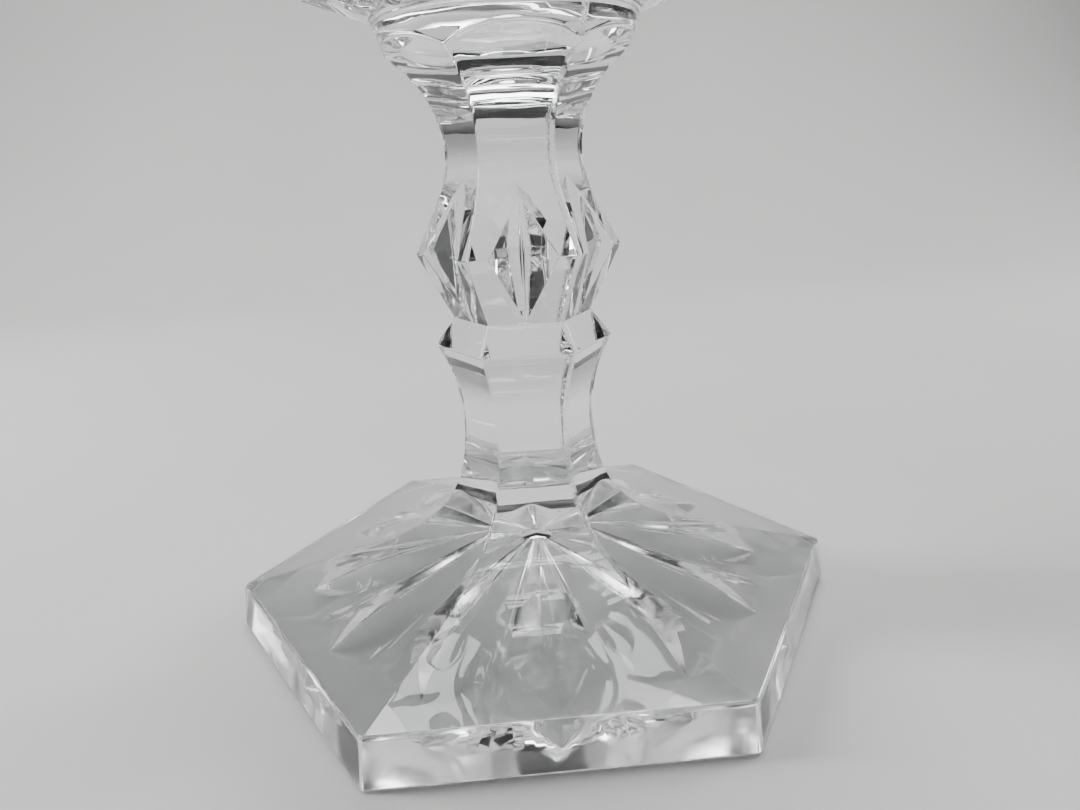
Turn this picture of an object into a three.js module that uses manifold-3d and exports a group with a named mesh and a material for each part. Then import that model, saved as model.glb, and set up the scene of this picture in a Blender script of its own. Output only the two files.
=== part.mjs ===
// Glass candlestick: a hexagonal foot with a star pressed into its hollow underside, a
// hexagonal shaft with a collar and a faceted knop, and a fluted capital that carries a wide
// drip pan with the candle's socket standing in it.
// Millimetres, +Z up. The origin is on the table, at the middle of the foot, and two
// corners of the hexagon lie on the X axis.
import * as THREE from 'three';
import { mergeVertices } from 'three/addons/utils/BufferGeometryUtils.js';
import { ConvexGeometry } from 'three/addons/geometries/ConvexGeometry.js';
import Module from 'manifold-3d';

const wasm = await Module();
wasm.setup();

// The hexagonal pieces are given by the radius of their corners.
const sides = 6;
const flatPerCorner = Math.cos(Math.PI / sides);

// Clearance left between two neighbouring pieces of glass.
const jointGap = 0.3;

// Foot
const footAcrossFlats = 100;
const footDraft = 1.0;
const footRimHeight = 8.5;
const footSlope = THREE.MathUtils.degToRad(13.7);
const footSweepRadius = 34;

// Hollow under the foot: a shallow cone, about as steep as the foot's top
const coneMargin = 7.5;
const coneHeight = 13;
const coneSegments = 72;

// Star of tapered grooves pressed into the hollow
const rayCount = 12;
const rayMargin = 0.5;
const rayShoulder = 13;
const rayHalfWidth = 6.4;
const rayFlat = 1.0;
const rayDepth = 4.0;
const rayStart = 3.0;
const rayStartHalfWidth = 0.2;
const rayTipHalfWidth = 0.1;
const rayKneeShare = 0.55;
const rayKneeHalfShare = 0.66;

// Lower stem
const stemWaistRadius = 12.4;
const stemWaistHeight = 39.5;
const stemSweepRise = 14;
const stemFlare = 28.2;
const stemJoint = 0.25;

// Collar
const collarEdgeHeight = 14.4;
const collarLip = 2.2;
const collarTopRadius = 12.75;
const collarTaper = 4.9;

// Knop and its mitre cuts
const knopRadius = 18.5;
const knopRise = 11.6;
const knopFall = 9.7;
const knopShoulderRadius = 13.7;
const mitreHalfWidth = 5.8;
const mitreFlat = 0.35;
const mitreLowerEnd = 0.3;
const mitreUpperEnd = 0.2;
const mitreBeyond = 4;

// Neck
const neckWaistRadius = 12.15;
const neckSweepRise = 7;
const neckJoint = 0.35;
const neckLength = 7;

// Capital
const capitalFlare = 18.7;
const bandHeight = 6.6;
const bandFootRadius = 19.9;
const bandBulge = 0.4;
const bandRadius = 22.2;
const capitalHeight = 21.1;

// Drip pan
const panCornerRadius = 41.5;
const panSlope = THREE.MathUtils.degToRad(20);
const panDishSlope = THREE.MathUtils.degToRad(16);
const panThickness = 4.5;
const panRimRound = 0.9;
const panTurnRun = 9.6;
const panHollowLength = 11;
const panHollowWidth = 15;
const panHollowDepth = 1.3;

// Candle socket
const socketMouthRadius = 11.5;
const socketFloorRadius = 10.5;
const socketFloorThickness = 2;
const socketWall = 3.2;
const socketDraft = 0.6;
const socketHeight = 18;

// Fineness of the faceted curves
const curveSteps = 8;
const roundSegments = 48;
const hollowSegments = 20;
const hollowRings = 10;

// Closest that two different corners of a mesh may lie, and how far a cut runs past a face.
const weldTolerance = 1e-4;
const cutPast = 1;

// Heights above the table that follow from the sizes above.
const footCorner = footAcrossFlats / 2 / flatPerCorner;
const collarEdge = stemWaistHeight + collarEdgeHeight;
const collarTop = collarEdge + collarTaper;
const knopEdge = collarTop + knopRise;
const knopShoulder = knopEdge + knopFall;
const neckWaist = knopShoulder + neckSweepRise;
const capitalBase = neckWaist + neckLength;
const capitalTop = neckWaist + capitalHeight;

const glassColor = 0xe9eeee;
const glassOpacity = 0.45;
const glassRoughness = 0.05;

// ---------- solids ----------

// Joins equal corners and drops the triangles that close up at a lathe's poles.
function weld(geometry) {
  const bare = geometry.clone();
  bare.deleteAttribute('normal');
  bare.deleteAttribute('uv');
  const merged = mergeVertices(bare, weldTolerance);
  const corners = merged.index.array;
  const kept = [];
  for (let i = 0; i < corners.length; i += 3) {
    const [a, b, c] = [corners[i], corners[i + 1], corners[i + 2]];
    if (a !== b && b !== c && c !== a) kept.push(a, b, c);
  }
  merged.setIndex(kept);
  return merged;
}

function toSolid(geometry) {
  const merged = weld(geometry);
  return new wasm.Manifold(new wasm.Mesh({
    numProp: 3,
    vertProperties: new Float32Array(merged.attributes.position.array),
    triVerts: new Uint32Array(merged.index.array),
  }));
}

function toGeometry(solid) {
  const mesh = solid.getMesh();
  const geometry = new THREE.BufferGeometry();
  geometry.setAttribute('position', new THREE.BufferAttribute(mesh.vertProperties, 3));
  geometry.setIndex(new THREE.BufferAttribute(mesh.triVerts, 1));
  return geometry;
}

function cutAway(geometry, cutters) {
  let solid = toSolid(geometry);
  for (const cutter of cutters) {
    solid = solid.subtract(toSolid(cutter));
  }
  return toGeometry(solid);
}

// Turns an outline of [radius, height] points about the Z axis, with a corner on +X.
function turned(outline, segments) {
  const points = outline.map((p) => new THREE.Vector2(p.x, p.y));
  const geometry = new THREE.LatheGeometry(points, segments, Math.PI / sides);
  return geometry.rotateX(Math.PI / 2);
}

function at(radius, height) {
  return new THREE.Vector2(radius, height);
}

// An outline that starts and ends on the axis, from its outer wall listed upwards.
function filled(wall) {
  const first = wall[0];
  const last = wall[wall.length - 1];
  return [at(0, first.y), ...wall, at(0, last.y)];
}

// ---------- outlines of the corner ridges, listed upwards ----------

// The foot's top slopes up gently, then sweeps up into the shaft.
const footSlopeRise = (footCorner - footSweepRadius) * Math.tan(footSlope);
const sweepStart = footRimHeight + footSlopeRise;
const sweepElbow = footSweepRadius / 2;
const footSweep = new THREE.CubicBezierCurve(
  at(footSweepRadius, sweepStart),
  at(sweepElbow, sweepStart + (footSweepRadius - sweepElbow) * Math.tan(footSlope)),
  at(stemWaistRadius, stemWaistHeight - stemSweepRise),
  at(stemWaistRadius, stemWaistHeight),
);

// The knop's upper cone sweeps into the neck.
const coneSlope = (knopRadius - knopShoulderRadius) / knopFall;
const neckSweep = new THREE.QuadraticBezierCurve(
  at(knopShoulderRadius, knopShoulder),
  at(neckWaistRadius, knopShoulder + (knopShoulderRadius - neckWaistRadius) / coneSlope),
  at(neckWaistRadius, neckWaist),
);

function curvePart(curve, from, to) {
  const points = [];
  for (let i = 0; i <= curveSteps; i += 1) {
    points.push(curve.getPoint(from + (to - from) * i / curveSteps));
  }
  return points;
}

// A corner ridge that leaves its waist upright and flares out along a circular arc.
function flarePart(waistRadius, waistHeight, arc, from, to) {
  const points = [];
  for (let i = 0; i <= curveSteps; i += 1) {
    const height = from + (to - from) * i / curveSteps;
    const rise = Math.min(height - waistHeight, arc);
    points.push(at(waistRadius + arc - Math.sqrt(arc * arc - rise * rise), height));
  }
  return points;
}

const sweepPart = 1 - stemJoint;
const footTop = footSweep.getPoint(sweepPart).y;
const stemTop = collarEdge - collarLip;
const knopTop = neckSweep.getPoint(neckJoint).y;

function raisedBy(points, gap) {
  const [first, ...rest] = points;
  return [at(first.x, first.y + gap), ...rest];
}

// ---------- foot ----------

const coneRadius = footAcrossFlats / 2 - coneMargin;
const rayTip = coneRadius - rayMargin;
const rayWidest = rayTip - rayShoulder;

// How high the hollow's wall stands above the table at a distance from the axis.
function coneAt(radius) {
  return coneHeight * (1 - radius / coneRadius);
}

// A cone twice as wide and high as the hollow, so that it runs on below the underside.
function coneCutter() {
  const cone = new THREE.ConeGeometry(2 * coneRadius, 2 * coneHeight, coneSegments);
  return cone.rotateX(Math.PI / 2);
}

// One groove: narrow at the middle of the foot, widest and deepest at its shoulder, and
// pointed at its outer tip, with two sloping walls and a narrow flat along its bottom.
function rayCutter(angle) {
  const outline = [
    [rayStart, rayStartHalfWidth],
    [rayWidest, rayHalfWidth],
    [rayWidest + rayShoulder * rayKneeShare, rayHalfWidth * rayKneeHalfShare],
    [rayTip, rayTipHalfWidth],
  ];
  const points = [];
  for (const [along, half] of outline) {
    for (const side of [-1, 1]) {
      points.push(new THREE.Vector3(along, side * half, coneAt(Math.hypot(along, half))));
      points.push(new THREE.Vector3(along, side * half, -cutPast));
    }
  }
  for (const side of [-1, 1]) {
    points.push(new THREE.Vector3(rayWidest, side * rayFlat, coneAt(rayWidest) + rayDepth));
  }
  return new ConvexGeometry(points).rotateZ(angle);
}

function makeFoot() {
  const wall = [
    at(footCorner + footDraft, 0),
    at(footCorner, footRimHeight),
    ...curvePart(footSweep, 0, sweepPart),
  ];
  const cutters = [coneCutter()];
  for (let i = 0; i < rayCount; i += 1) {
    cutters.push(rayCutter(i * 2 * Math.PI / rayCount));
  }
  return cutAway(turned(filled(wall), sides), cutters);
}

// ---------- lower stem and collar ----------

function makeLowerStem() {
  const wall = [
    ...raisedBy(curvePart(footSweep, sweepPart, 1), jointGap),
    ...flarePart(stemWaistRadius, stemWaistHeight, stemFlare, stemWaistHeight, stemTop).slice(1),
  ];
  return weld(turned(filled(wall), sides));
}

function makeCollar() {
  const from = stemTop + jointGap;
  const wall = [
    ...flarePart(stemWaistRadius, stemWaistHeight, stemFlare, from, collarEdge),
    at(collarTopRadius, collarTop),
  ];
  return weld(turned(filled(wall), sides));
}

// ---------- knop ----------

// One upright V cut across the middle of a knop face. Its bottom line runs straight from
// the foot of the lower cone to the shoulder of the upper one.
function mitreCutter(angle) {
  const lower = at(collarTopRadius * flatPerCorner + mitreLowerEnd, collarTop);
  const upper = at(knopShoulderRadius * flatPerCorner + mitreUpperEnd, knopShoulder);
  const depth = knopRadius * flatPerCorner - (lower.x + upper.x) / 2;
  const spread = (mitreHalfWidth - mitreFlat) / depth;
  const reach = depth + mitreBeyond;
  const points = [];
  for (const end of [lower, upper]) {
    for (const side of [-1, 1]) {
      points.push(new THREE.Vector3(end.x, side * mitreFlat, end.y));
      points.push(new THREE.Vector3(end.x + reach, side * (mitreFlat + reach * spread), end.y));
    }
  }
  return new ConvexGeometry(points).rotateZ(angle);
}

function makeKnop() {
  const wall = [
    at(collarTopRadius, collarTop + jointGap),
    at(knopRadius, knopEdge),
    ...curvePart(neckSweep, 0, neckJoint),
  ];
  const cutters = [];
  for (let i = 0; i < sides; i += 1) {
    cutters.push(mitreCutter((i + 0.5) * 2 * Math.PI / sides));
  }
  return cutAway(turned(filled(wall), sides), cutters);
}

// ---------- neck ----------

function makeNeck() {
  const wall = [
    ...raisedBy(curvePart(neckSweep, neckJoint, 1), jointGap),
    ...flarePart(neckWaistRadius, neckWaist, capitalFlare, neckWaist, capitalBase).slice(1),
  ];
  return weld(turned(filled(wall), sides));
}

// ---------- capital ----------

// Six flutes rise from the neck's faces and run out under a round band, in six arches.
function makeCapital() {
  const beyond = bandRadius / flatPerCorner + neckWaistRadius + capitalFlare;
  const flutesTop = neckWaist + capitalFlare;
  const from = capitalBase + jointGap;
  const fluted = turned(filled([
    ...flarePart(neckWaistRadius, neckWaist, capitalFlare, from, flutesTop),
    at(beyond, flutesTop),
    at(beyond, capitalTop + cutPast),
  ]), sides);
  const bandFoot = capitalTop - bandHeight;
  const middle = (bandFootRadius + bandRadius) / 2 + bandBulge;
  const bandCurve = new THREE.QuadraticBezierCurve(
    at(bandFootRadius, bandFoot),
    at(middle, (bandFoot + capitalTop) / 2),
    at(bandRadius, capitalTop),
  );
  const banded = turned(filled([
    at(beyond, capitalBase),
    at(beyond, bandFoot),
    ...curvePart(bandCurve, 0, 1),
  ]), roundSegments);
  return toGeometry(toSolid(fluted).intersect(toSolid(banded)));
}

// ---------- drip pan ----------

const panRun = panCornerRadius - bandRadius;
const panFoot = capitalTop + jointGap;
const panRimFoot = capitalTop + panRun * Math.tan(panSlope);
const panRimTop = panRimFoot + panThickness;
const socketFootRadius = socketMouthRadius + socketWall + socketDraft;
const panLevel = panRimTop - (panCornerRadius - socketFootRadius) * Math.tan(panDishSlope);

// The pan leaves the capital's band as a circle and is a hexagon towards its rim: this is
// how far a radius has turned from the one into the other, from 0 to 1.
function hexagonShare(radius) {
  return THREE.MathUtils.smoothstep(radius, bandRadius, bandRadius + panTurnRun);
}

// Draws a round lathe's vertices in to the hexagon.
function squeezeToHexagon(geometry) {
  const position = geometry.attributes.position;
  const sector = 2 * Math.PI / sides;
  for (let i = 0; i < position.count; i += 1) {
    const x = position.getX(i);
    const y = position.getY(i);
    const turn = Math.atan2(y, x) + 2 * Math.PI;
    const fromFlat = turn % sector - sector / 2;
    const hexagon = flatPerCorner / Math.cos(fromFlat);
    const scale = 1 + (hexagon - 1) * hexagonShare(Math.hypot(x, y));
    position.setXY(i, x * scale, y * scale);
  }
  return geometry;
}

// A shallow oval hollow in the underside, along the middle of one face.
function hollowCutter(angle) {
  const corner = (bandRadius + panCornerRadius) / 2;
  const flat = corner * (1 + (flatPerCorner - 1) * hexagonShare(corner));
  const run = panCornerRadius * flatPerCorner - bandRadius;
  const slope = Math.atan2(panRimFoot - capitalTop, run);
  return new THREE.SphereGeometry(1, hollowSegments, hollowRings)
    .scale(panHollowLength / 2, panHollowWidth / 2, panHollowDepth)
    .rotateY(-slope)
    .translate(flat, 0, (panFoot + panRimFoot) / 2)
    .rotateZ(angle);
}

function makeDripPan() {
  const rim = panCornerRadius - panRimRound;
  const underside = [];
  const topside = [];
  for (let i = 0; i <= curveSteps; i += 1) {
    const share = i / curveSteps;
    underside.push(at(bandRadius + panRun * share, panFoot + (panRimFoot - panFoot) * share));
    const inwards = rim + (socketFootRadius - rim) * share;
    topside.push(at(inwards, panRimTop + (panLevel - panRimTop) * share));
  }
  const wall = [...underside, at(panCornerRadius, panRimTop - panRimRound), ...topside];
  const cutters = [];
  for (let i = 0; i < sides; i += 1) {
    cutters.push(hollowCutter((i + 0.5) * 2 * Math.PI / sides));
  }
  return cutAway(squeezeToHexagon(turned(filled(wall), roundSegments)), cutters);
}

// ---------- candle socket ----------

// A ring that stands in the dish. Its bore narrows a little to a flat floor.
function makeCandleSocket() {
  const mouth = panLevel + socketHeight;
  const floor = panLevel + socketFloorThickness;
  return weld(turned([
    at(0, panLevel + jointGap),
    at(socketFootRadius, panLevel + jointGap),
    at(socketMouthRadius + socketWall, mouth),
    at(socketMouthRadius, mouth),
    at(socketFloorRadius, floor),
    at(0, floor),
  ], roundSegments));
}

// ---------- the candlestick ----------

const candlestick = new THREE.Group();

function addPiece(name, geometry) {
  const piece = new THREE.Mesh(geometry, new THREE.MeshStandardMaterial({
    color: glassColor,
    metalness: 0,
    roughness: glassRoughness,
    transparent: true,
    opacity: glassOpacity,
  }));
  piece.name = name;
  candlestick.add(piece);
}

addPiece('foot', makeFoot());
addPiece('lower_stem', makeLowerStem());
addPiece('collar', makeCollar());
addPiece('knop', makeKnop());
addPiece('neck', makeNeck());
addPiece('capital', makeCapital());
addPiece('drip_pan', makeDripPan());
addPiece('candle_socket', makeCandleSocket());

export default candlestick;
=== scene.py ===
import math

import bmesh
import bpy
from mathutils import Matrix, Vector


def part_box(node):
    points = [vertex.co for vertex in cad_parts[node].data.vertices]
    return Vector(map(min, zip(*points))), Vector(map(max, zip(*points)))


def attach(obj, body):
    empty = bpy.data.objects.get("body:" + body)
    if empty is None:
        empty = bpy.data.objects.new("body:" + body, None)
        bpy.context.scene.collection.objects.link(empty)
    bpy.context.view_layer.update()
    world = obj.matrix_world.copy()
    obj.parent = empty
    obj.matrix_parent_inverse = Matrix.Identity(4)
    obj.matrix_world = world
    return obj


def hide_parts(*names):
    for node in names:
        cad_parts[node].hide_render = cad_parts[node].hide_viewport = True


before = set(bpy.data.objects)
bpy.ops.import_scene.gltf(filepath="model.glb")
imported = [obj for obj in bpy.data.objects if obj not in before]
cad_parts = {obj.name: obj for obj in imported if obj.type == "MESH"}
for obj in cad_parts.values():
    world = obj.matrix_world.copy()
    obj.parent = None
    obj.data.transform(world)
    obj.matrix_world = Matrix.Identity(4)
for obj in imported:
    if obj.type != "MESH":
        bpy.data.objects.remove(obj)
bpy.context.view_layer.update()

MM = 0.001


# ---------- table, light and camera ----------
# A pale tabletop that sweeps up behind the candlestick, as a studio's paper does, under
# soft boxes. What lies outside the paper is kept darker, so that clear glass shows its edges.

TABLE_GAP = 0.05 * MM
TABLE_HALF_WIDTH = 0.66
TABLE_FRONT = -0.75
TABLE_BACK = 0.62
WALL_HEIGHT = 0.36
COVE_RADIUS = 0.22
COVE_STEPS = 24

bpy.ops.object.select_all(action="DESELECT")
bpy.ops.mesh.primitive_plane_add(
    size=1, location=(0, (TABLE_FRONT + TABLE_BACK) / 2, -TABLE_GAP)
)
table = bpy.context.object
table.name = "table_top"
table.scale = (2 * TABLE_HALF_WIDTH, TABLE_BACK - TABLE_FRONT, 1)
bpy.ops.object.transform_apply(location=True, rotation=True, scale=True)
bpy.ops.object.mode_set(mode="EDIT")
bpy.ops.mesh.select_mode(type="EDGE")
bpy.ops.mesh.select_all(action="DESELECT")
work = bmesh.from_edit_mesh(table.data)
for edge in work.edges:
    edge.select_set(all(v.co.y > TABLE_BACK - MM for v in edge.verts))
bmesh.update_edit_mesh(table.data)
bpy.ops.mesh.extrude_region_move(TRANSFORM_OT_translate={"value": (0, 0, WALL_HEIGHT)})
bpy.ops.mesh.select_all(action="DESELECT")
work = bmesh.from_edit_mesh(table.data)
for edge in work.edges:
    edge.select_set(all(v.co.y > TABLE_BACK - MM and v.co.z < MM for v in edge.verts))
bmesh.update_edit_mesh(table.data)
bpy.ops.mesh.bevel(offset=COVE_RADIUS, segments=COVE_STEPS, affect="EDGES", clamp_overlap=False)
bpy.ops.object.mode_set(mode="OBJECT")
bpy.ops.object.shade_smooth_by_angle(angle=math.radians(30))

paper = bpy.data.materials.new("pale_paper")
paper.use_nodes = True
nodes, links = paper.node_tree.nodes, paper.node_tree.links
surface = nodes["Principled BSDF"]
surface.inputs["Roughness"].default_value = 0.75
surface.inputs["Specular IOR Level"].default_value = 0.25
place = nodes.new("ShaderNodeTexCoord")
cloud = nodes.new("ShaderNodeTexNoise")
cloud.inputs["Scale"].default_value = 3.5
cloud.inputs["Detail"].default_value = 4
shade = nodes.new("ShaderNodeValToRGB")
shade.color_ramp.elements[0].position = 0.35
shade.color_ramp.elements[0].color = (0.52, 0.52, 0.515, 1)
shade.color_ramp.elements[1].position = 0.7
shade.color_ramp.elements[1].color = (0.56, 0.56, 0.555, 1)
grain = nodes.new("ShaderNodeTexNoise")
grain.inputs["Scale"].default_value = 2600
grain.inputs["Detail"].default_value = 3
tooth = nodes.new("ShaderNodeBump")
tooth.inputs["Strength"].default_value = 0.12
tooth.inputs["Distance"].default_value = 0.1 * MM
links.new(place.outputs["Object"], cloud.inputs["Vector"])
links.new(place.outputs["Object"], grain.inputs["Vector"])
links.new(cloud.outputs["Fac"], shade.inputs["Fac"])
links.new(shade.outputs["Color"], surface.inputs["Base Color"])
links.new(grain.outputs["Fac"], tooth.inputs["Height"])
links.new(tooth.outputs["Normal"], surface.inputs["Normal"])
table.data.materials.append(paper)

# The room: light near the horizon, dark above it.
room = bpy.data.worlds.new("room")
bpy.context.scene.world = room
room.use_nodes = True
nodes, links = room.node_tree.nodes, room.node_tree.links
glow = nodes["Background"]
way = nodes.new("ShaderNodeTexCoord")
split = nodes.new("ShaderNodeSeparateXYZ")
height = nodes.new("ShaderNodeMapRange")
height.inputs["From Min"].default_value = -1
height.inputs["From Max"].default_value = 1
fade = nodes.new("ShaderNodeValToRGB")
fade.color_ramp.elements[0].position = 0.45
fade.color_ramp.elements[0].color = (0.05, 0.05, 0.052, 1)
fade.color_ramp.elements[1].position = 1.0
fade.color_ramp.elements[1].color = (0.025, 0.025, 0.027, 1)
dark = fade.color_ramp.elements.new(0.62)
dark.color = (0.006, 0.006, 0.007, 1)
links.new(way.outputs["Generated"], split.inputs["Vector"])
links.new(split.outputs["Z"], height.inputs["Value"])
links.new(height.outputs["Result"], fade.inputs["Fac"])
links.new(fade.outputs["Color"], glow.inputs["Color"])
glow.inputs["Strength"].default_value = 1.0


def soft_box(name, place, aim, size, power):
    """A rectangular soft box at a place, turned to face aim."""
    light = bpy.data.lights.new(name, "AREA")
    light.shape = "RECTANGLE"
    light.size, light.size_y = size
    light.energy = power
    box = bpy.data.objects.new(name, light)
    bpy.context.collection.objects.link(box)
    box.location = place
    box.rotation_euler = (Vector(aim) - Vector(place)).to_track_quat("-Z", "Y").to_euler()


MIDDLE = (0, 0, 0.06)
soft_box("left_box", (-0.60, 0.10, 0.42), MIDDLE, (0.12, 0.5), 6)
soft_box("right_box", (0.62, 0.28, 0.36), MIDDLE, (0.07, 0.45), 2.6)
soft_box("top_box", (0.05, 0.20, 0.95), (0, 0.15, 0), (0.55, 0.4), 10)

LENS = 27.88
SENSOR = 36
CAMERA_PLACE = (-6.73 * MM, -151.67 * MM, 86.03 * MM)
CAMERA_HEADING = math.radians(86.595)
CAMERA_DIP = math.radians(16.522)
CAMERA_ROLL = math.radians(-3.058)

lens = bpy.data.cameras.new("camera")
lens.lens = LENS
lens.sensor_width = SENSOR
lens.clip_start = 0.01
lens.clip_end = 10
camera = bpy.data.objects.new("camera", lens)
bpy.context.collection.objects.link(camera)
camera.location = CAMERA_PLACE
ahead = Vector((
    math.cos(CAMERA_HEADING) * math.cos(CAMERA_DIP),
    math.sin(CAMERA_HEADING) * math.cos(CAMERA_DIP),
    -math.sin(CAMERA_DIP),
))
level = ahead.to_track_quat("-Z", "Y").to_matrix()
camera.rotation_euler = (level @ Matrix.Rotation(CAMERA_ROLL, 3, "Z")).to_euler()
bpy.context.scene.camera = camera

# Light has to cross many faces of glass before it reaches the eye.
bounces = bpy.context.scene.cycles
bounces.max_bounces = 32
bounces.transmission_bounces = 32
bounces.glossy_bounces = 16
bounces.transparent_max_bounces = 48


# ---------- foot ----------
# A thick hexagonal plate of pressed clear glass with a near-upright rim. Its top slopes up
# to the middle and sweeps into the shaft along six ridges. Its underside is a shallow cone
# with a star of twelve grooves pressed into it.

SIDES = 6
SIDE_TURN = 2 * math.pi / SIDES
FLAT_SHARE = math.cos(math.pi / SIDES)
FOOT_ACROSS_FLATS = 100 * MM
FOOT_CORNER = FOOT_ACROSS_FLATS / 2 / FLAT_SHARE
FOOT_DRAFT = 1.0 * MM
RIM_HEIGHT = 8.5 * MM
FOOT_SLOPE = math.radians(13.7)
SWEEP_RADIUS = 34 * MM
SWEEP_RISE = 14 * MM
WAIST_RADIUS = 12.4 * MM
WAIST_HEIGHT = 39.5 * MM
SWEEP_STEPS = 48
RIDGE_SOFTNESS = 0.4 * MM
SEAM_SOFTNESS = 0.7 * MM
RIM_SOFTNESS = 0.7 * MM
RIM_LEVEL = 0.1 * MM
SOFT_STEPS = 3
SMOOTH_ANGLE = math.radians(32)
HAIR = 0.01 * MM
SMALL_TURN = 1e-3
foot_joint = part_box("foot")[1].z


def bezier(corners, share):
    """The point at a share of the way along a Bezier curve."""
    while len(corners) > 1:
        corners = [a.lerp(b, share) for a, b in zip(corners, corners[1:])]
    return corners[0]


def select_edges(piece, wanted):
    """In edit mode, selects the edges whose two ends wanted() accepts."""
    bpy.ops.mesh.select_mode(type="EDGE")
    bpy.ops.mesh.select_all(action="DESELECT")
    mesh = bmesh.from_edit_mesh(piece.data)
    for edge in mesh.edges:
        edge.select_set(wanted(*(v.co for v in edge.verts)))
    bmesh.update_edit_mesh(piece.data)


def drawn_up(name, sides, wall, turn=math.radians(30)):
    """A closed solid with that many sides, drawn up ring by ring along a wall of
    (radius, height) points. Six sides put two corners on the X axis."""
    bpy.ops.object.select_all(action="DESELECT")
    radius, height = wall[0]
    bpy.ops.mesh.primitive_circle_add(
        vertices=sides, radius=radius, fill_type="NGON",
        location=(0, 0, height), rotation=(0, 0, turn),
    )
    piece = bpy.context.object
    piece.name = name
    bpy.ops.object.transform_apply(location=True, rotation=True, scale=True)
    bpy.ops.object.mode_set(mode="EDIT")
    bpy.ops.mesh.select_mode(type="FACE")
    bpy.ops.mesh.select_all(action="SELECT")
    for wider, higher in wall[1:]:
        bpy.ops.mesh.extrude_region_move(
            TRANSFORM_OT_translate={"value": (0, 0, higher - height)}
        )
        grow = wider / radius
        bpy.ops.transform.resize(value=(grow, grow, 1), center_override=(0, 0, higher))
        radius, height = wider, higher
    bpy.ops.mesh.select_all(action="SELECT")
    bpy.ops.mesh.normals_make_consistent(inside=False)
    bpy.ops.object.mode_set(mode="OBJECT")
    return piece


def on_ridge(a, b):
    """True for an edge that runs along one of the six ridges."""
    for corner in (a, b):
        off = math.remainder(math.atan2(corner.y, corner.x), SIDE_TURN)
        if corner.to_2d().length < MM or abs(off) > SMALL_TURN:
            return False
    apart = math.remainder(math.atan2(a.y, a.x) - math.atan2(b.y, b.x), 2 * math.pi)
    return abs(apart) < SMALL_TURN


def on_seam(a, b):
    """True for an edge on one of the three ridges where the parts of the mould met."""
    off = math.remainder(math.atan2(a.y, a.x) - math.pi, 2 * SIDE_TURN)
    return on_ridge(a, b) and abs(off) < SMALL_TURN


def soften(piece, wanted, softness):
    """Rounds the chosen edges, as hot glass rounds them."""
    bpy.ops.object.mode_set(mode="EDIT")
    select_edges(piece, wanted)
    bpy.ops.mesh.bevel(
        offset=softness, segments=SOFT_STEPS, affect="EDGES", clamp_overlap=True
    )
    bpy.ops.object.mode_set(mode="OBJECT")


def soften_ridges(piece):
    """Rounds the six ridges, three of them wider, where the mould's parts met."""
    soften(piece, on_seam, SEAM_SOFTNESS)
    soften(piece, on_ridge, RIDGE_SOFTNESS)


def only(piece):
    """Makes piece the one selected, active object."""
    bpy.ops.object.select_all(action="DESELECT")
    piece.select_set(True)
    bpy.context.view_layer.objects.active = piece


def combine(piece, tool, operation, turns=(0,)):
    """Cuts piece with the tool, or keeps what they share, once at each turn about Z."""
    for turn in turns:
        tool.rotation_euler = (0, 0, turn)
        bpy.context.view_layer.update()
        only(piece)
        cut = piece.modifiers.new("cut", "BOOLEAN")
        cut.operation = operation
        cut.solver = "EXACT"
        cut.object = tool
        bpy.ops.object.modifier_apply(modifier=cut.name)
    bpy.data.objects.remove(tool)


def parted(piece, height, keep_above):
    """Cuts piece off level at a joint and closes it there."""
    only(piece)
    bpy.ops.object.mode_set(mode="EDIT")
    bpy.ops.mesh.select_all(action="SELECT")
    bpy.ops.mesh.bisect(
        plane_co=(0, 0, height), plane_no=(0, 0, 1), use_fill=True, threshold=1e-8,
        clear_inner=keep_above, clear_outer=not keep_above,
    )
    bpy.ops.object.mode_set(mode="OBJECT")


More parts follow.
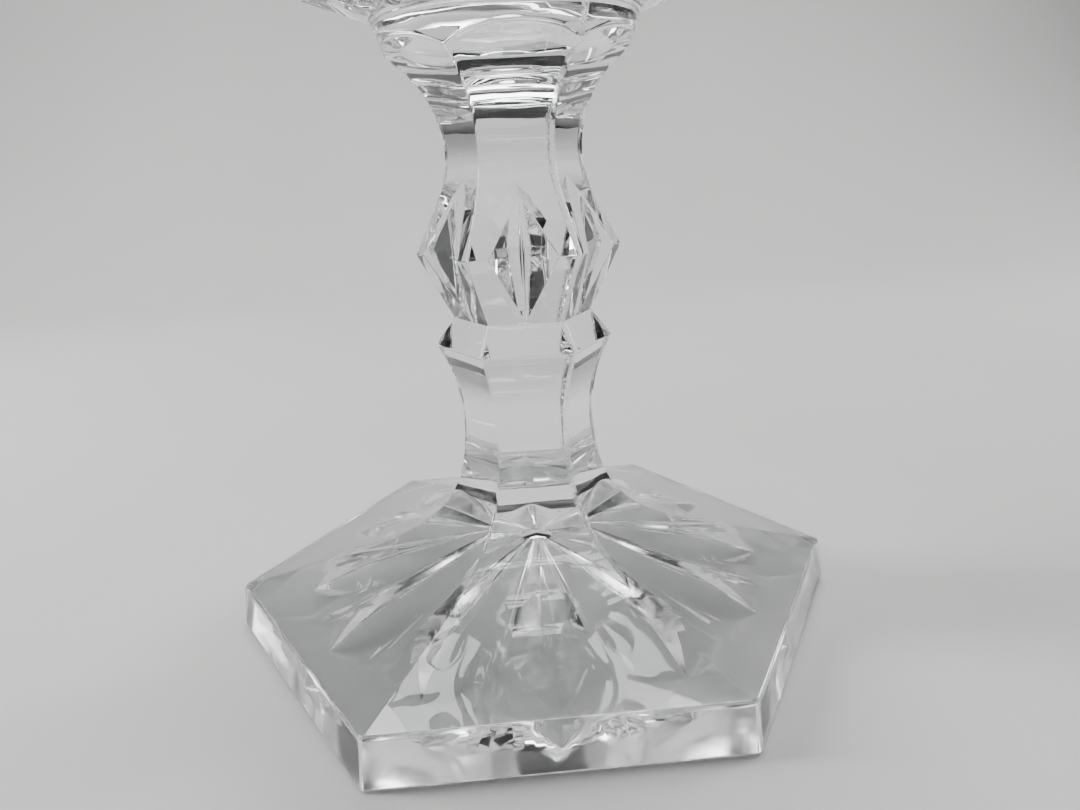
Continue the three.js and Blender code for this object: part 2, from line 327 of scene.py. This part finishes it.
def glass_material():
    """Clear pressed glass: faintly uneven, so that straight lines waver in it, with
    thin films of handling that dull its gloss, and a rubbed rim where it meets the table."""
    glass = bpy.data.materials.new("pressed_glass")
    glass.use_nodes = True
    nodes, links = glass.node_tree.nodes, glass.node_tree.links
    surface = nodes["Principled BSDF"]
    surface.inputs["Transmission Weight"].default_value = 1.0
    surface.inputs["IOR"].default_value = 1.53
    place = nodes.new("ShaderNodeTexCoord")

    tint = nodes.new("ShaderNodeTexNoise")
    tint.inputs["Scale"].default_value = 22
    shade = nodes.new("ShaderNodeValToRGB")
    shade.color_ramp.elements[0].color = (0.965, 0.985, 0.98, 1)
    shade.color_ramp.elements[1].color = (0.995, 1.0, 0.998, 1)
    links.new(place.outputs["Object"], tint.inputs["Vector"])
    links.new(tint.outputs["Fac"], shade.inputs["Fac"])
    links.new(shade.outputs["Color"], surface.inputs["Base Color"])

    film = nodes.new("ShaderNodeTexNoise")
    film.inputs["Scale"].default_value = 55
    film.inputs["Detail"].default_value = 6
    film.inputs["Roughness"].default_value = 0.65
    gloss = nodes.new("ShaderNodeMapRange")
    gloss.inputs["From Min"].default_value = 0.5
    gloss.inputs["From Max"].default_value = 0.85
    gloss.inputs["To Min"].default_value = 0.0
    gloss.inputs["To Max"].default_value = 0.12
    links.new(place.outputs["Object"], film.inputs["Vector"])
    links.new(film.outputs["Fac"], gloss.inputs["Value"])
    split = nodes.new("ShaderNodeSeparateXYZ")
    rubbed = nodes.new("ShaderNodeMapRange")
    rubbed.inputs["From Min"].default_value = 0.9 * MM
    rubbed.inputs["From Max"].default_value = 0.0
    rubbed.inputs["To Min"].default_value = 0.0
    rubbed.inputs["To Max"].default_value = 0.10
    links.new(place.outputs["Object"], split.inputs["Vector"])
    links.new(split.outputs["Z"], rubbed.inputs["Value"])
    total = nodes.new("ShaderNodeMath")
    total.operation = "ADD"
    links.new(gloss.outputs["Result"], total.inputs[0])
    links.new(rubbed.outputs["Result"], total.inputs[1])
    links.new(total.outputs["Value"], surface.inputs["Roughness"])

    wave = nodes.new("ShaderNodeTexNoise")
    wave.inputs["Scale"].default_value = 60
    wave.inputs["Detail"].default_value = 2
    stretch = nodes.new("ShaderNodeMapping")
    stretch.inputs["Scale"].default_value = (1, 1, 2.2)
    ripple = nodes.new("ShaderNodeBump")
    ripple.inputs["Strength"].default_value = 1.0
    ripple.inputs["Distance"].default_value = 0.14 * MM
    links.new(place.outputs["Object"], stretch.inputs["Vector"])
    links.new(stretch.outputs["Vector"], wave.inputs["Vector"])
    links.new(wave.outputs["Fac"], ripple.inputs["Height"])
    links.new(ripple.outputs["Normal"], surface.inputs["Normal"])
    return glass


def joint_material():
    """Where two gathers were joined hot the glass is one, and nothing shows."""
    fused = bpy.data.materials.new("fused_joint")
    fused.use_nodes = True
    nodes, links = fused.node_tree.nodes, fused.node_tree.links
    nodes.remove(nodes["Principled BSDF"])
    clear = nodes.new("ShaderNodeBsdfTransparent")
    links.new(clear.outputs["BSDF"], nodes["Material Output"].inputs["Surface"])
    return fused


def seam_material():
    """The mould's parting line: glass left frosted and pitted in a narrow strip."""
    seam = bpy.data.materials.new("mould_seam")
    seam.use_nodes = True
    nodes, links = seam.node_tree.nodes, seam.node_tree.links
    surface = nodes["Principled BSDF"]
    surface.inputs["Transmission Weight"].default_value = 1.0
    surface.inputs["IOR"].default_value = 1.53
    surface.inputs["Base Color"].default_value = (0.97, 0.985, 0.98, 1)
    place = nodes.new("ShaderNodeTexCoord")
    pits = nodes.new("ShaderNodeTexNoise")
    pits.inputs["Scale"].default_value = 900
    pits.inputs["Detail"].default_value = 3
    frost = nodes.new("ShaderNodeMapRange")
    frost.inputs["From Min"].default_value = 0.35
    frost.inputs["From Max"].default_value = 0.7
    frost.inputs["To Min"].default_value = 0.08
    frost.inputs["To Max"].default_value = 0.4
    relief = nodes.new("ShaderNodeBump")
    relief.inputs["Strength"].default_value = 0.8
    relief.inputs["Distance"].default_value = 0.12 * MM
    links.new(place.outputs["Object"], pits.inputs["Vector"])
    links.new(pits.outputs["Fac"], frost.inputs["Value"])
    links.new(frost.outputs["Result"], surface.inputs["Roughness"])
    links.new(pits.outputs["Fac"], relief.inputs["Height"])
    links.new(relief.outputs["Normal"], surface.inputs["Normal"])
    return seam


def groove_material():
    """The star's grooves, pressed by a tool that left its scratches along each of them, and
    dulled by dust that no cloth reaches."""
    groove = bpy.data.materials.new("groove_glass")
    groove.use_nodes = True
    nodes, links = groove.node_tree.nodes, groove.node_tree.links
    surface = nodes["Principled BSDF"]
    surface.inputs["Transmission Weight"].default_value = 1.0
    surface.inputs["IOR"].default_value = 1.53
    place = nodes.new("ShaderNodeTexCoord")
    streaks = nodes.new("ShaderNodeTexNoise")
    streaks.inputs["Scale"].default_value = 260
    streaks.inputs["Detail"].default_value = 5
    streaks.inputs["Roughness"].default_value = 0.7
    gloss = nodes.new("ShaderNodeMapRange")
    gloss.inputs["From Min"].default_value = 0.35
    gloss.inputs["From Max"].default_value = 0.75
    gloss.inputs["To Min"].default_value = 0.03
    gloss.inputs["To Max"].default_value = 0.3
    shade = nodes.new("ShaderNodeValToRGB")
    shade.color_ramp.elements[0].color = (0.90, 0.92, 0.92, 1)
    shade.color_ramp.elements[1].color = (0.99, 1.0, 1.0, 1)
    relief = nodes.new("ShaderNodeBump")
    relief.inputs["Strength"].default_value = 0.6
    relief.inputs["Distance"].default_value = 0.12 * MM
    links.new(place.outputs["Object"], streaks.inputs["Vector"])
    links.new(streaks.outputs["Fac"], gloss.inputs["Value"])
    links.new(streaks.outputs["Fac"], shade.inputs["Fac"])
    links.new(streaks.outputs["Fac"], relief.inputs["Height"])
    links.new(gloss.outputs["Result"], surface.inputs["Roughness"])
    links.new(shade.outputs["Color"], surface.inputs["Base Color"])
    links.new(relief.outputs["Normal"], surface.inputs["Normal"])
    return groove


PRESSED_GLASS = glass_material()
FUSED_JOINT = joint_material()
MOULD_SEAM = seam_material()
STAR_GROOVE = groove_material()
PLAIN, JOINT, SEAM, GROOVE = range(4)
SEAM_HALF_WIDTH = 0.6 * MM
SEAM_LOWER_END = 18 * MM
FACING_DOWN = 0.93
FACING_ASIDE = 0.1


def in_seam(face):
    """True for a face that lies within the narrow strip of a mould seam."""
    turn = math.atan2(face.center.y, face.center.x)
    off = math.remainder(turn - math.pi, 2 * SIDE_TURN)
    facing = math.remainder(math.atan2(face.normal.y, face.normal.x) - turn, 2 * math.pi)
    aside = face.center.to_2d().length * math.sin(off)
    outside = abs(off) < SIDE_TURN / 2 and abs(facing) < SIDE_TURN / 2
    narrow = abs(aside) < SEAM_HALF_WIDTH and face.center.z > SEAM_LOWER_END
    return outside and narrow and face.normal.z > -FACING_DOWN


def in_groove(face):
    """True for a face of the star: it looks down more steeply than the hollow round it."""
    steep = FACING_ASIDE < -face.normal.z < FACING_DOWN
    return steep and HAIR < face.center.z < 2 * RIM_HEIGHT


def finish_glass(piece, node, joints, seamed=True):
    """Shades a finished piece, gives its faces their glass and hands it to the frame."""
    only(piece)
    piece.data.materials.clear()
    for finish in (PRESSED_GLASS, FUSED_JOINT, MOULD_SEAM, STAR_GROOVE):
        piece.data.materials.append(finish)
    for face in piece.data.polygons:
        face.material_index = PLAIN
        if in_groove(face):
            face.material_index = GROOVE
        if seamed and in_seam(face):
            face.material_index = SEAM
        level = abs(face.normal.z) > 1 - SMALL_TURN
        if level and any(abs(face.center.z - joint) < HAIR for joint in joints):
            face.material_index = JOINT
    bpy.ops.object.shade_smooth_by_angle(angle=SMOOTH_ANGLE)
    even = piece.modifiers.new("even", "WEIGHTED_NORMAL")
    even.keep_sharp = True
    bpy.ops.object.modifier_apply(modifier=even.name)
    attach(piece, "root")
    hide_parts(node)


sweep_start = RIM_HEIGHT + (FOOT_CORNER - SWEEP_RADIUS) * math.tan(FOOT_SLOPE)
FOOT_SWEEP = [
    Vector((SWEEP_RADIUS, sweep_start)),
    Vector((SWEEP_RADIUS / 2, sweep_start + SWEEP_RADIUS / 2 * math.tan(FOOT_SLOPE))),
    Vector((WAIST_RADIUS, WAIST_HEIGHT - SWEEP_RISE)),
    Vector((WAIST_RADIUS, WAIST_HEIGHT)),
]
sweep = [bezier(FOOT_SWEEP, i / SWEEP_STEPS) for i in range(SWEEP_STEPS + 1)]

foot = drawn_up("foot_plate", SIDES, [
    (FOOT_CORNER + FOOT_DRAFT, 0),
    (FOOT_CORNER, RIM_HEIGHT),
    *sweep,
])
soften_ridges(foot)


def on_rim(a, b):
    """True for a level edge round the top or the bottom of the foot's rim."""
    level = abs(a.z - b.z) < RIM_LEVEL
    outside = min(a.to_2d().length, b.to_2d().length) > FOOT_ACROSS_FLATS / 2 - FOOT_DRAFT
    return level and outside and max(a.z, b.z) < RIM_HEIGHT + RIM_LEVEL


soften(foot, on_rim, RIM_SOFTNESS)

# The hollow, and one groove of the star as (distance from the middle, half width) with its
# section for a half width of one: two walls that run up to a narrow rounded bottom.
CONE_RADIUS = 42.5
CONE_HEIGHT = 13
CONE_SIDES = 144
RAYS = 12
RAY_OUTLINE = [
    (3.0, 0.66), (8.0, 1.77), (15.0, 3.31), (21.5, 4.8), (25.5, 5.72), (28.0, 6.22),
    (30.0, 6.38), (32.0, 6.1), (34.0, 5.2), (36.5, 3.95), (38.8, 2.5), (40.6, 1.2), (42.0, 0.1),
]
RAY_SECTION = [
    (1.414, -0.3), (0.22, 0.565), (0.12, 0.612), (0.0, 0.625),
    (-0.12, 0.612), (-0.22, 0.565), (-1.414, -0.3),
]


def cone_tool():
    """The mould's cone that hollows the underside, run on below it."""
    bpy.ops.object.select_all(action="DESELECT")
    bpy.ops.mesh.primitive_cone_add(
        vertices=CONE_SIDES, radius1=2 * CONE_RADIUS * MM, radius2=0,
        depth=2 * CONE_HEIGHT * MM, location=(0, 0, 0),
    )
    return bpy.context.object


def cone_height(along):
    """How high the hollow stands at a distance from the middle, in millimetres."""
    return CONE_HEIGHT * (1 - along / CONE_RADIUS)


def ray_tool():
    """The raised rib of the mould that presses one groove."""
    bpy.ops.object.select_all(action="DESELECT")
    bpy.ops.mesh.primitive_circle_add(vertices=len(RAY_SECTION), radius=MM, fill_type="NGON")
    tool = bpy.context.object
    along, half = RAY_OUTLINE[0]
    for vertex, (across, high) in zip(tool.data.vertices, RAY_SECTION):
        vertex.co = Vector((along, across * half, high * half + cone_height(along))) * MM
    bpy.ops.object.mode_set(mode="EDIT")
    bpy.ops.mesh.select_mode(type="FACE")
    bpy.ops.mesh.select_all(action="SELECT")
    for further, wider in RAY_OUTLINE[1:]:
        bpy.ops.mesh.extrude_region_move(
            TRANSFORM_OT_translate={
                "value": ((further - along) * MM, 0, (cone_height(further) - cone_height(along)) * MM)
            }
        )
        grow = wider / half
        middle = (further * MM, 0, cone_height(further) * MM)
        bpy.ops.transform.resize(value=(1, grow, grow), center_override=middle)
        along, half = further, wider
    bpy.ops.mesh.select_all(action="SELECT")
    bpy.ops.mesh.normals_make_consistent(inside=False)
    bpy.ops.object.mode_set(mode="OBJECT")
    return tool


combine(foot, cone_tool(), "DIFFERENCE")
combine(foot, ray_tool(), "DIFFERENCE", [i * 2 * math.pi / RAYS for i in range(RAYS)])
parted(foot, foot_joint, keep_above=False)
finish_glass(foot, "foot", [foot_joint])


# ---------- lower stem ----------
# The six-sided shaft, pressed in one with the foot's sweep: it narrows to a waist and
# flares again under the collar.

STEM_FLARE = 28.2 * MM
FLARE_STEP = 0.8 * MM
stem_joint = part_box("lower_stem")[1].z


def flare(waist_radius, waist_height, arc, first, last, step=FLARE_STEP):
    """Points on a ridge that leaves its waist upright and flares out round an arc, a step
    apart in height from the waist, from the first step to the last."""
    points = []
    for i in range(first, last + 1):
        rise = min(i * step, arc)
        points.append((waist_radius + arc - math.sqrt(arc * arc - rise * rise), waist_height + rise))
    return points


sweep_from = next(i for i, p in enumerate(sweep) if p.y > foot_joint) - 2
steps_to_joint = math.ceil((stem_joint - WAIST_HEIGHT) / FLARE_STEP)
stem = drawn_up("stem_shaft", SIDES, [
    *sweep[sweep_from:],
    *flare(WAIST_RADIUS, WAIST_HEIGHT, STEM_FLARE, 1, steps_to_joint + 1),
])
soften_ridges(stem)
parted(stem, foot_joint, keep_above=True)
parted(stem, stem_joint, keep_above=False)
finish_glass(stem, "lower_stem", [foot_joint, stem_joint])


# ---------- collar ----------
# A six-sided ring with a crisp edge: the shaft's flare runs out into it from below, and a
# straight chamfer leads back in above.

COLLAR_STEPS = 18
COLLAR_TOP_RADIUS = 12.75 * MM
COLLAR_SOFTNESS = 0.3 * MM
collar_edge = WAIST_HEIGHT + COLLAR_STEPS * FLARE_STEP
collar_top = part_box("collar")[1].z
collar = drawn_up("collar_ring", SIDES, [
    *flare(WAIST_RADIUS, WAIST_HEIGHT, STEM_FLARE, steps_to_joint - 2, COLLAR_STEPS),
    (COLLAR_TOP_RADIUS, collar_top),
])
soften_ridges(collar)
soften(
    collar,
    lambda a, b: abs(a.z - collar_edge) < HAIR and abs(b.z - collar_edge) < HAIR,
    COLLAR_SOFTNESS,
)
parted(collar, stem_joint, keep_above=True)
finish_glass(collar, "collar", [stem_joint, collar_top])


# ---------- knop ----------
# Two six-sided cones set edge to edge. An upright V is cut down the middle of each face,
# which leaves a rhombus on every side.

KNOP_RADIUS = 18.5 * MM
KNOP_RISE = 11.6 * MM
KNOP_FALL = 9.7 * MM
SHOULDER_RADIUS = 13.7 * MM
NECK_WAIST_RADIUS = 12.15 * MM
NECK_SWEEP_RISE = 7 * MM
NECK_STEPS = 18
MITRE_HALF_WIDTH = 5.8 * MM
MITRE_FLAT = 0.35 * MM
MITRE_ROUND = 0.315 * MM
MITRE_LOWER_END = 0.3 * MM
MITRE_UPPER_END = 0.2 * MM
MITRE_BEYOND = 4 * MM
KNOP_SOFTNESS = 0.25 * MM
CUT_ANGLE = math.radians(25)
knop_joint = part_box("knop")[1].z
knop_edge = collar_top + KNOP_RISE
shoulder = knop_edge + KNOP_FALL
neck_waist = shoulder + NECK_SWEEP_RISE
cone_slope = (KNOP_RADIUS - SHOULDER_RADIUS) / KNOP_FALL
NECK_SWEEP = [
    Vector((SHOULDER_RADIUS, shoulder)),
    Vector((NECK_WAIST_RADIUS, shoulder + (SHOULDER_RADIUS - NECK_WAIST_RADIUS) / cone_slope)),
    Vector((NECK_WAIST_RADIUS, neck_waist)),
]
neck_sweep = [bezier(NECK_SWEEP, i / NECK_STEPS) for i in range(NECK_STEPS + 1)]


def mitre_tool():
    """The wedge that cuts one V: its thin edge leans out a little as it rises."""
    low_x = COLLAR_TOP_RADIUS * FLAT_SHARE + MITRE_LOWER_END
    high_x = SHOULDER_RADIUS * FLAT_SHARE + MITRE_UPPER_END
    depth = KNOP_RADIUS * FLAT_SHARE - (low_x + high_x) / 2
    reach = depth + MITRE_BEYOND
    spread = (MITRE_HALF_WIDTH - MITRE_FLAT) / depth
    bpy.ops.object.select_all(action="DESELECT")
    bpy.ops.mesh.primitive_cube_add(size=1)
    tool = bpy.context.object
    for vertex in tool.data.vertices:
        outer, side, upper = (c > 0 for c in vertex.co)
        half = MITRE_FLAT + (reach * spread if outer else 0)
        vertex.co = (
            (high_x if upper else low_x) + (reach if outer else 0),
            half if side else -half,
            shoulder if upper else collar_top,
        )
    bpy.ops.object.mode_set(mode="EDIT")
    select_edges(tool, lambda a, b: abs(a.z - b.z) > MM and max(a.x, b.x) < high_x + MM)
    bpy.ops.mesh.bevel(offset=MITRE_ROUND, segments=2, affect="EDGES")
    bpy.ops.mesh.select_all(action="SELECT")
    bpy.ops.mesh.normals_make_consistent(inside=False)
    bpy.ops.object.mode_set(mode="OBJECT")
    return tool


def soften_cuts(piece, softness):
    """Rounds the sharp edges that the cuts left, except round the flat foot of the piece."""
    only(piece)
    bpy.ops.object.mode_set(mode="EDIT")
    bpy.ops.mesh.select_mode(type="EDGE")
    bpy.ops.mesh.select_all(action="SELECT")
    bpy.ops.mesh.remove_doubles(threshold=2 * HAIR)
    bpy.ops.mesh.select_all(action="DESELECT")
    mesh = bmesh.from_edit_mesh(piece.data)
    for edge in mesh.edges:
        low, high = sorted(v.co.z for v in edge.verts)
        level_foot = low < collar_top + 5 * HAIR and high - low < MM
        edge.select_set(edge.calc_face_angle() > CUT_ANGLE and not level_foot)
    bmesh.update_edit_mesh(piece.data)
    bpy.ops.mesh.bevel(offset=softness, segments=2, affect="EDGES", clamp_overlap=True)
    bpy.ops.object.mode_set(mode="OBJECT")


knop = drawn_up("knop_cones", SIDES, [
    (COLLAR_TOP_RADIUS, collar_top),
    (KNOP_RADIUS, knop_edge),
    *neck_sweep,
])
soften_ridges(knop)
combine(knop, mitre_tool(), "DIFFERENCE", [(i + 0.5) * SIDE_TURN for i in range(SIDES)])
soften_cuts(knop, KNOP_SOFTNESS)
parted(knop, knop_joint, keep_above=False)
finish_glass(knop, "knop", [collar_top, knop_joint])


# ---------- neck ----------
# The six-sided waist between the knop and the capital, pressed in one with both.

CAPITAL_FLARE = 18.7 * MM
CAPITAL_STEP = 0.7 * MM
neck_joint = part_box("neck")[1].z
neck_from = next(i for i, p in enumerate(neck_sweep) if p.y > knop_joint) - 2
steps_to_capital = math.ceil((neck_joint - neck_waist) / CAPITAL_STEP)
neck = drawn_up("neck_waist", SIDES, [
    *neck_sweep[neck_from:],
    *flare(NECK_WAIST_RADIUS, neck_waist, CAPITAL_FLARE, 1, steps_to_capital + 1, CAPITAL_STEP),
])
soften_ridges(neck)
parted(neck, knop_joint, keep_above=True)
parted(neck, neck_joint, keep_above=False)
finish_glass(neck, "neck", [knop_joint, neck_joint])


# ---------- capital ----------
# Six flutes rise from the neck's faces and run out in arches under a round, slightly
# bellied band. The glass is solid here.

BAND_FOOT_RADIUS = 19.9 * MM
BAND_RADIUS = 22.2 * MM
BAND_HEIGHT = 6.6 * MM
BAND_BULGE = 0.4 * MM
BAND_STEPS = 8
FILLET_REACH = 0.9 * MM
FILLET_STEPS = 7
PAN_SLOPE = math.radians(20)
ARCH_SOFTNESS = 0.5 * MM
ARCH_STEPS = 5
FLUTE_STEPS = 20
FLUTE_COLUMNS = 22
RIDGE_COLUMNS = SOFT_STEPS - 1
SIDE_COLUMNS = RIDGE_COLUMNS + FLUTE_COLUMNS + 1
SWING_ERROR = 1e-6
capital_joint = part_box("capital")[1].z
band_foot = capital_joint - BAND_HEIGHT
middle_radius = (BAND_FOOT_RADIUS + BAND_RADIUS) / 2 + BAND_BULGE
BAND_CURVE = [
    Vector((BAND_FOOT_RADIUS, band_foot)),
    Vector((middle_radius, (band_foot + capital_joint) / 2)),
    Vector((BAND_RADIUS, capital_joint)),
]
FILLET_CURVE = [
    bezier(BAND_CURVE, 1 - FILLET_REACH / BAND_HEIGHT),
    Vector((BAND_RADIUS, capital_joint)),
    Vector((
        BAND_RADIUS + FILLET_REACH * math.cos(PAN_SLOPE),
        capital_joint + FILLET_REACH * math.sin(PAN_SLOPE),
    )),
]
fillet = [bezier(FILLET_CURVE, i / FILLET_STEPS) for i in range(FILLET_STEPS + 1)]


def ridge_softness(ridge):
    """How far a ridge is rounded: every second one is a seam."""
    return SEAM_SOFTNESS if ridge % 2 else RIDGE_SOFTNESS


def hexagon_point(corner, column):
    """A point of a hexagon with rounded corners, as big as its corner's radius says."""
    side, step = divmod(column, SIDE_COLUMNS)
    if step < RIDGE_COLUMNS:
        softness = ridge_softness(side)
        swing = SIDE_TURN * ((step + 1) / SOFT_STEPS - 0.5)
        arc = Vector((math.cos(swing), math.sin(swing))) * softness * math.tan(SIDE_TURN)
        point = Vector((corner - 2 * softness, 0)) + arc
        turn = side * SIDE_TURN
    else:
        first = ridge_softness(side) - corner / 2
        last = corner / 2 - ridge_softness(side + 1)
        share = (step - RIDGE_COLUMNS) / FLUTE_COLUMNS
        point = Vector((corner * FLAT_SHARE, first + (last - first) * share))
        turn = (side + 0.5) * SIDE_TURN
    point.rotate(Matrix.Rotation(turn, 2))
    return point


def flute_point(swing, column):
    """A point on a flute, whose side is an arc that has swung out by that angle."""
    corner = NECK_WAIST_RADIUS + CAPITAL_FLARE * (1 - math.cos(swing))
    height = neck_waist + CAPITAL_FLARE * math.sin(swing)
    return hexagon_point(corner, column).to_3d() + Vector((0, 0, height))


def band_point(away, share):
    """A point on the band, away from the axis in that direction."""
    reach, height = bezier(BAND_CURVE, share)
    return away.normalized().to_3d() * reach + Vector((0, 0, height))


def arch_swing(column):
    """How far a flute has swung out where it runs out into the band."""
    low, high = math.asin((band_foot - neck_waist) / CAPITAL_FLARE), math.pi / 2
    while high - low > SWING_ERROR:
        swing = (low + high) / 2
        point = flute_point(swing, column)
        reach = bezier(BAND_CURVE, (point.z - band_foot) / BAND_HEIGHT).x
        low, high = (swing, high) if point.to_2d().length < reach else (low, swing)
    return low


def capital_column(column):
    """The points up one column: flute, rounded arch, band and the start of the pan."""
    starts = [
        math.asin(i * CAPITAL_STEP / CAPITAL_FLARE)
        for i in range(steps_to_capital - 2, steps_to_capital + 2)
    ]
    swing = arch_swing(column)
    run = swing - ARCH_SOFTNESS / CAPITAL_FLARE - starts[-1]
    swings = starts + [starts[-1] + run * i / FLUTE_STEPS for i in range(1, FLUTE_STEPS + 1)]
    flute = [flute_point(angle, column) for angle in swings]
    corner = flute_point(swing, column)
    away = corner.to_2d()
    share = (corner.z + ARCH_SOFTNESS - band_foot) / BAND_HEIGHT
    left = 1 - FILLET_REACH / BAND_HEIGHT - share
    band = [band_point(away, share + left * i / BAND_STEPS) for i in range(BAND_STEPS)]
    arch = [bezier([flute[-1], corner, band[0]], i / ARCH_STEPS) for i in range(1, ARCH_STEPS)]
    top = [away.normalized().to_3d() * p.x + Vector((0, 0, p.y)) for p in fillet]
    return flute + arch + band + top


columns = [capital_column(i) for i in range(SIDES * SIDE_COLUMNS)]
rings = range(len(columns[0]))
capital = drawn_up(
    "capital_flutes", len(columns), [(BAND_RADIUS, ring * MM) for ring in rings], -math.pi / 2
)
for vertex in capital.data.vertices:
    turn = math.atan2(vertex.co.y, vertex.co.x) % (2 * math.pi)
    column = round(turn / (2 * math.pi) * len(columns)) % len(columns)
    vertex.co = columns[column][round(vertex.co.z / MM)]
parted(capital, neck_joint, keep_above=True)
parted(capital, capital_joint, keep_above=False)
finish_glass(capital, "capital", [neck_joint, capital_joint])


# ---------- drip pan ----------
# A thick flange that spreads from the band, round at first and six-sided at its rim. Its
# dish falls to the socket in its middle, and a shallow oval hollow is pressed under each
# side.

PAN_CORNER = 41.5 * MM
PAN_DISH_SLOPE = math.radians(16)
PAN_THICKNESS = 4.5 * MM
PAN_RIM_ROUND = 0.9 * MM
PAN_TURN_RUN = 9.6 * MM
PAN_STEPS = 20
ROUND = 144
ROUND_TURN = math.radians(30)
HOLLOW_LENGTH = 11 * MM
HOLLOW_WIDTH = 15 * MM
HOLLOW_DEPTH = 1.3 * MM
SOCKET_FOOT_RADIUS = 15.3 * MM
pan_run = PAN_CORNER - BAND_RADIUS
pan_rim_foot = capital_joint + pan_run * math.tan(PAN_SLOPE)
pan_rim_top = pan_rim_foot + PAN_THICKNESS
pan_level = pan_rim_top - (PAN_CORNER - SOCKET_FOOT_RADIUS) * math.tan(PAN_DISH_SLOPE)


def hexagon_share(radius):
    """How far a ring of that radius has turned from a circle into a hexagon, 0 to 1."""
    share = min(max((radius - BAND_RADIUS) / PAN_TURN_RUN, 0), 1)
    return share * share * (3 - 2 * share)


def squeeze(piece):
    """Draws the pan's rings in to their hexagons."""
    for vertex in piece.data.vertices:
        flat = vertex.co.to_2d()
        if flat.length < MM:
            continue
        off = math.remainder(math.atan2(flat.y, flat.x) - SIDE_TURN / 2, SIDE_TURN)
        squeezed = 1 + (FLAT_SHARE / math.cos(off) - 1) * hexagon_share(flat.length)
        vertex.co.x *= squeezed
        vertex.co.y *= squeezed


def steps_between(first, last, steps):
    """Evenly spaced points of a wall, without its first."""
    return [Vector(first).lerp(Vector(last), i / steps) for i in range(1, steps + 1)]


rim_foot = (PAN_CORNER, pan_rim_foot)
rim_top = (PAN_CORNER - PAN_RIM_ROUND, pan_rim_top)
dish_end = (SOCKET_FOOT_RADIUS, pan_level)
pan = drawn_up("drip_pan_flange", ROUND, [
    *fillet,
    *steps_between(fillet[-1], rim_foot, PAN_STEPS),
    (PAN_CORNER, pan_rim_top - PAN_RIM_ROUND),
    rim_top,
    *steps_between(rim_top, dish_end, PAN_STEPS),
    (SOCKET_FOOT_RADIUS / 2, pan_level),
], ROUND_TURN)
squeeze(pan)


def hollow_tool():
    """The low swelling of the mould that presses one hollow."""
    bpy.ops.object.select_all(action="DESELECT")
    corner = (BAND_RADIUS + PAN_CORNER) / 2
    flat = corner * (1 + (FLAT_SHARE - 1) * hexagon_share(corner))
    slope = math.atan2(pan_rim_foot - capital_joint, PAN_CORNER * FLAT_SHARE - BAND_RADIUS)
    bpy.ops.mesh.primitive_uv_sphere_add(
        segments=48, ring_count=24, radius=1,
        location=(flat, 0, (capital_joint + pan_rim_foot) / 2), rotation=(0, -slope, 0),
    )
    tool = bpy.context.object
    tool.scale = (HOLLOW_LENGTH / 2, HOLLOW_WIDTH / 2, HOLLOW_DEPTH)
    bpy.ops.object.transform_apply(location=True, rotation=True, scale=True)
    return tool


combine(pan, hollow_tool(), "DIFFERENCE", [(i + 0.5) * SIDE_TURN for i in range(SIDES)])
parted(pan, capital_joint, keep_above=True)
finish_glass(pan, "drip_pan", [capital_joint], seamed=False)


# ---------- candle socket ----------
# A ring of glass that stands in the dish, with a bore that narrows a little to a flat
# floor. Its mouth is rounded, so that a candle slips in.

SOCKET_MOUTH_RADIUS = 11.5 * MM
SOCKET_FLOOR_RADIUS = 10.5 * MM
SOCKET_FLOOR_THICKNESS = 2 * MM
SOCKET_WALL = 3.2 * MM
SOCKET_HEIGHT = 18 * MM
SOCKET_SOFTNESS = 0.9 * MM
mouth = pan_level + SOCKET_HEIGHT
ring = drawn_up("socket_ring", ROUND, [
    (SOCKET_FOOT_RADIUS, pan_level),
    (SOCKET_MOUTH_RADIUS + SOCKET_WALL, mouth),
    (SOCKET_MOUTH_RADIUS, mouth),
    (SOCKET_FLOOR_RADIUS, pan_level + SOCKET_FLOOR_THICKNESS),
], ROUND_TURN)


def on_mouth(a, b):
    """True for an edge round the inside or the outside of the ring's mouth."""
    round_it = abs(a.to_2d().length - b.to_2d().length) < HAIR
    return round_it and min(a.z, b.z) > mouth - HAIR


soften(ring, on_mouth, SOCKET_SOFTNESS)
finish_glass(ring, "candle_socket", [pan_level], seamed=False)
